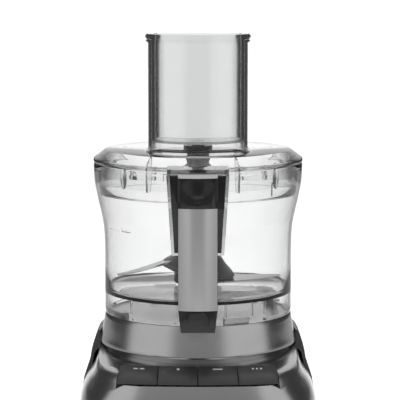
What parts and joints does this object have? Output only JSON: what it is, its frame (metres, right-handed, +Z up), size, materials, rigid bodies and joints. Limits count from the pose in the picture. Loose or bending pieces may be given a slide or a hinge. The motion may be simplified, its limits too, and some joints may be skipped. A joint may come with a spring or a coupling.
{
  "type": "food processor",
  "caption": "Bowl-type food processor with a belt-driven cutter, a lift-off clear bowl with a front handle, a clear lid with a D-shaped feed tube and a hollow pusher.",
  "frame": {"origin": "centre of the overall box, on the plane the feet stand on; the bowl's axis stands on it", "axes": "+Z up along the bowl's axis, -Y towards the handle and the keys, +X to the right as seen from the front"},
  "size_m": [0.1952, 0.244, 0.376],
  "materials": {
    "silver_plastic": "satin metallic",
    "charcoal_plastic": "satin",
    "black_plastic": "satin",
    "white_plastic": "satin",
    "grey_plastic": "satin",
    "clear_plastic": "clear",
    "key_rubber": "matte",
    "rubber": "matte",
    "steel": "satin",
    "blade_steel": "polished",
    "aluminium": "cast",
    "copper": "satin",
    "board": "matte"
  },
  "bodies": {
    "base": {"front_housing": "silver_plastic", "rear_housing": "charcoal_plastic", "collar": "silver_plastic", "lower_skirt": "charcoal_plastic", "base_plate": "black_plastic", "rubber_feet": "rubber", "housing_screws": "steel", "chassis": "white_plastic", "motor_stator": "steel", "motor_end_bells": "aluminium", "motor_brushes": "copper", "drive_belt": "rubber", "lower_bearing": "steel", "upper_bearing": "steel", "shaft_seal": "rubber", "lock_switch": "black_plastic", "cord_gland": "black_plastic", "button_bezel": "black_plastic", "switch_board": "board", "key_switches": "black_plastic"},
    "drive": {"drive_pulley": "white_plastic", "drive_shaft": "steel", "drive_coupling": "white_plastic"},
    "rotor": {"motor_rotor": "copper", "motor_shaft": "steel", "cooling_fan": "white_plastic", "motor_pulley": "black_plastic"},
    "bowl_unit": {"bowl": "clear_plastic", "handle_body": "black_plastic", "handle_panel": "silver_plastic", "handle_foot": "black_plastic", "thumb_rest": "grey_plastic", "handle_screw": "steel", "lock_spring": "steel"},
    "lid_unit": {"lid": "clear_plastic", "lid_bearing": "black_plastic"},
    "pusher_unit": {"pusher": "clear_plastic"},
    "cutter": {"blade_hub": "charcoal_plastic", "hub_insert": "white_plastic", "upper_blade": "blade_steel", "lower_blade": "blade_steel"},
    "rod": {"lock_rod": "white_plastic"},
    "plunger": {"lock_plunger": "white_plastic"},
    "key_a": {"key_one": "key_rubber"},
    "key_b": {"key_two": "key_rubber"},
    "key_c": {"key_three": "key_rubber"},
    "key_d": {"key_four": "key_rubber"}
  },
  "joints": [
    {"name": "drive_spin", "type": "hinge", "parent": "base", "child": "drive", "pos_m": [0, 0, 0.1], "axis": [0, 0, 1], "continuous": true},
    {"name": "motor_spin", "type": "hinge", "parent": "base", "child": "rotor", "pos_m": [0, 0.068, 0.06], "axis": [0, 0, 1], "continuous": true},
    {"name": "bowl_lift", "type": "slide", "parent": "base", "child": "bowl_unit", "axis": [0, 0, 1], "range_m": [0, 0.12]},
    {"name": "blade_spin", "type": "hinge", "parent": "bowl_unit", "child": "cutter", "pos_m": [0, 0, 0.18], "axis": [0, 0, 1], "continuous": true},
    {"name": "lid_lift", "type": "slide", "parent": "bowl_unit", "child": "lid_unit", "axis": [0, 0, 1], "range_m": [0, 0.12]},
    {"name": "pusher_lift", "type": "slide", "parent": "lid_unit", "child": "pusher_unit", "axis": [0, 0, 1], "range_m": [0, 0.12]},
    {"name": "lock_rod_press", "type": "slide", "parent": "bowl_unit", "child": "rod", "axis": [0, 0, -1], "range_m": [0, 0.004], "stiffness_N_per_m": 300, "springref_m": -0.003, "deforming": ["lock_spring"]},
    {"name": "plunger_press", "type": "slide", "parent": "base", "child": "plunger", "axis": [0, 0, -1], "range_m": [0, 0.004], "stiffness_N_per_m": 150, "springref_m": -0.002},
    {"name": "key_one_press", "type": "slide", "parent": "base", "child": "key_a", "axis": [0.0537, 0.4508, -0.891], "range_m": [0, 0.0008], "stiffness_N_per_m": 900, "springref_m": -0.0005},
    {"name": "key_two_press", "type": "slide", "parent": "base", "child": "key_b", "axis": [0.018, 0.4536, -0.891], "range_m": [0, 0.0008], "stiffness_N_per_m": 900, "springref_m": -0.0005},
    {"name": "key_three_press", "type": "slide", "parent": "base", "child": "key_c", "axis": [-0.018, 0.4536, -0.891], "range_m": [0, 0.0008], "stiffness_N_per_m": 900, "springref_m": -0.0005},
    {"name": "key_four_press", "type": "slide", "parent": "base", "child": "key_d", "axis": [-0.0537, 0.4508, -0.891], "range_m": [0, 0.0008], "stiffness_N_per_m": 900, "springref_m": -0.0005}
  ],
  "couplings": [
    {"joint": "motor_spin", "follows": "drive_spin", "ratio": 4.6667},
    {"joint": "blade_spin", "follows": "drive_spin", "ratio": 1},
    {"joint": "plunger_press", "follows": "lock_rod_press", "ratio": 1}
  ]
}
